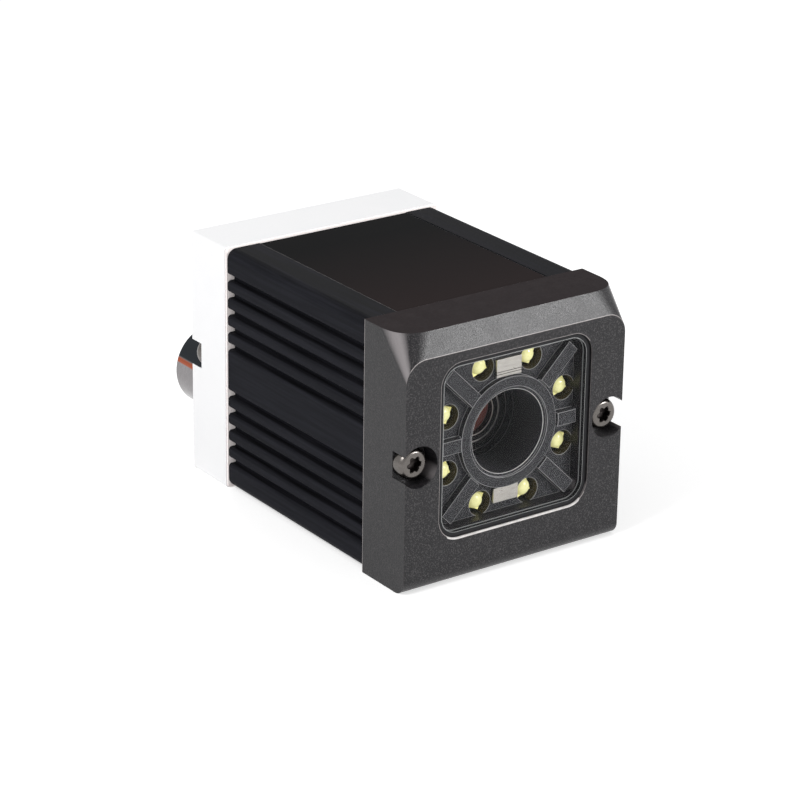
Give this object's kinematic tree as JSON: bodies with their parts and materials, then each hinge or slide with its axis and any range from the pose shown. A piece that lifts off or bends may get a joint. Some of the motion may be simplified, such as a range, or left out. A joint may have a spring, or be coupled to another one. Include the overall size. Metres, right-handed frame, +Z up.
{
  "type": "machine vision camera",
  "caption": "Compact square machine vision camera with a ring light behind a front window, a finned body, a rear focus screw and two round connectors.",
  "frame": {"origin": "centre of the part's bounding box at the base plane", "axes": "-Y points out of the window, +X is to the right seen from the front, +Z is up"},
  "size_m": [0.045, 0.077, 0.045],
  "materials": {
    "bezel": "fine-grained anthracite moulding",
    "seal": "black elastomer",
    "pane": "clear polished",
    "holder": "dark grey moulded",
    "clip": "satin spring steel",
    "board": "green solder mask",
    "screw": "bright steel",
    "extrusion": "black anodised",
    "label": "glossy black film",
    "gasket": "light grey elastomer",
    "cover": "smooth white moulding",
    "nickel": "polished nickel plate",
    "red_seal": "orange-brown elastomer",
    "insert": "black insulator",
    "gold": "gold plated",
    "brass": "turned brass",
    "barrel": "matt black anodised",
    "lens": "coated optical glass",
    "chip": "black package",
    "guide": "clear moulded light guide",
    "lamp": "yellow phosphor under clear resin"
  },
  "bodies": {
    "housing": {"front_bezel": "bezel", "window_seal": "seal", "window_pane": "pane", "light_holder": "holder", "holder_clip_top": "clip", "holder_clip_bottom": "clip", "led_board": "board", "bezel_screws": "screw", "rear_cover_screws": "screw", "body_extrusion": "extrusion", "label_plate": "label", "front_gasket": "seal", "rear_gasket": "gasket", "rear_cover": "cover", "network_socket_shell": "nickel", "network_socket_seal": "red_seal", "network_socket_nut": "nickel", "network_socket_insert": "insert", "network_socket_contacts": "gold", "power_plug_shell": "nickel", "power_plug_seal": "red_seal", "power_plug_nut": "nickel", "power_plug_insert": "insert", "power_plug_pins": "gold", "optics_frame": "holder", "guide_rods": "screw", "sensor_board": "board", "processor_board": "board", "connector_board": "board", "front_spacers": "brass", "rear_spacers": "brass", "image_sensor": "chip", "processor_chip": "chip", "front_board_connector": "insert", "rear_board_connector": "insert", "status_light_guide_1": "guide", "status_light_guide_2": "guide", "status_light_guide_3": "guide", "status_lamps": "lamp", "led_1": "lamp", "led_2": "lamp", "led_3": "lamp", "led_4": "lamp", "led_5": "lamp", "led_6": "lamp", "led_7": "lamp", "led_8": "lamp"},
    "lens_carriage": {"lens_carriage": "holder", "lens_barrel": "barrel", "lens_retaining_ring": "barrel", "front_lens": "lens", "rear_lens": "lens"},
    "focus_screw": {"focus_screw": "brass"}
  },
  "joints": [
    {"name": "focus_slide", "type": "slide", "parent": "housing", "child": "lens_carriage", "axis": [0, 1, 0], "range_m": [-0.001, 0.001]},
    {"name": "focus_turn", "type": "hinge", "parent": "housing", "child": "focus_screw", "pos_m": [0.0111, 0.0215, 0.0126], "axis": [0, 1, 0], "range_deg": [-722, 722]}
  ],
  "couplings": [
    {"joint": "focus_turn", "follows": "focus_slide", "rad_per_m": 12566}
  ]
}
